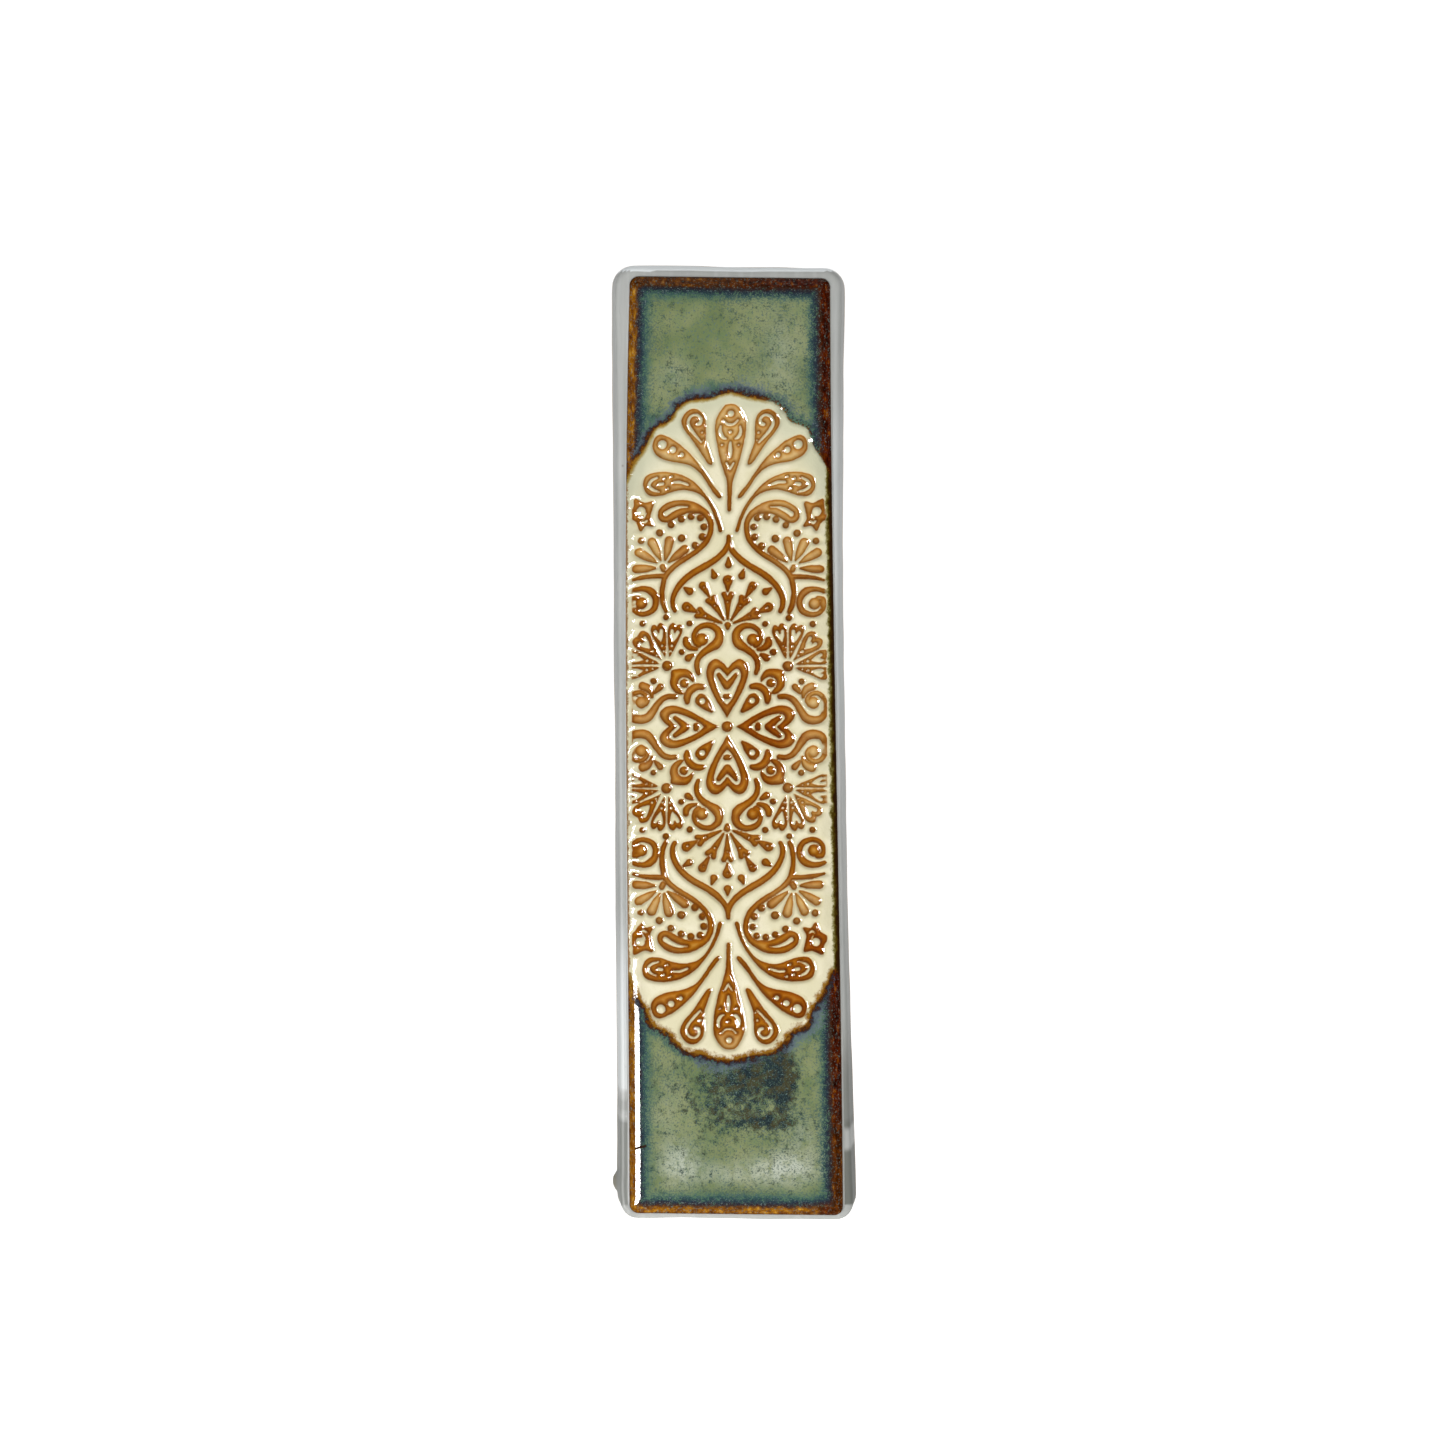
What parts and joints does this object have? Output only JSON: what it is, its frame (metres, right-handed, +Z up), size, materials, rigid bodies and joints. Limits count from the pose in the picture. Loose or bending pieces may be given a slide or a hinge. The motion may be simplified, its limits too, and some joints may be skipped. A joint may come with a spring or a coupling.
{
  "type": "mezuzah case",
  "caption": "Slim glazed ceramic mezuzah case with a relief front, a push-in back cover and a rolled parchment scroll inside.",
  "frame": {"origin": "on the back plane, where the case lies against the door post, midway between the two hanger holes", "axes": "+Z up the door post, +Y into the door post, +X to the right when the case is seen from the front"},
  "size_m": [0.0439, 0.024, 0.1713],
  "materials": {
    "white_glaze": "glossy white glaze with fine iron specks",
    "relief_glaze": "glossy cream, amber and green glazes",
    "stoneware": "bare fired clay",
    "felt": "wool felt",
    "cover_plastic": "fine matt texture",
    "foam": "closed-cell foam",
    "ribbon": "woven ribbon",
    "parchment": "matt parchment",
    "clear_film": "clear film"
  },
  "bodies": {
    "case": {"case_walls": "white_glaze", "relief_slab": "relief_glaze", "upper_hanger_bridge": "stoneware", "lower_hanger_bridge": "stoneware", "felt_pads": "felt"},
    "cover": {"back_cover": "cover_plastic", "cover_side_strips": "foam", "cover_end_strips": "foam", "cover_pull_tab": "ribbon", "cover_foam_pads": "foam"},
    "scroll": {"scroll_parchment": "parchment", "scroll_film": "clear_film"}
  },
  "joints": [
    {"name": "cover_pull", "type": "slide", "parent": "case", "child": "cover", "axis": [0, 1, 0], "range_m": [0, 0.06]},
    {"name": "scroll_lift", "type": "slide", "parent": "case", "child": "scroll", "axis": [0, 1, 0], "range_m": [0, 0.03]}
  ],
  "couplings": [
    {"joint": "scroll_lift", "follows": "cover_pull", "ratio": 0.5}
  ]
}
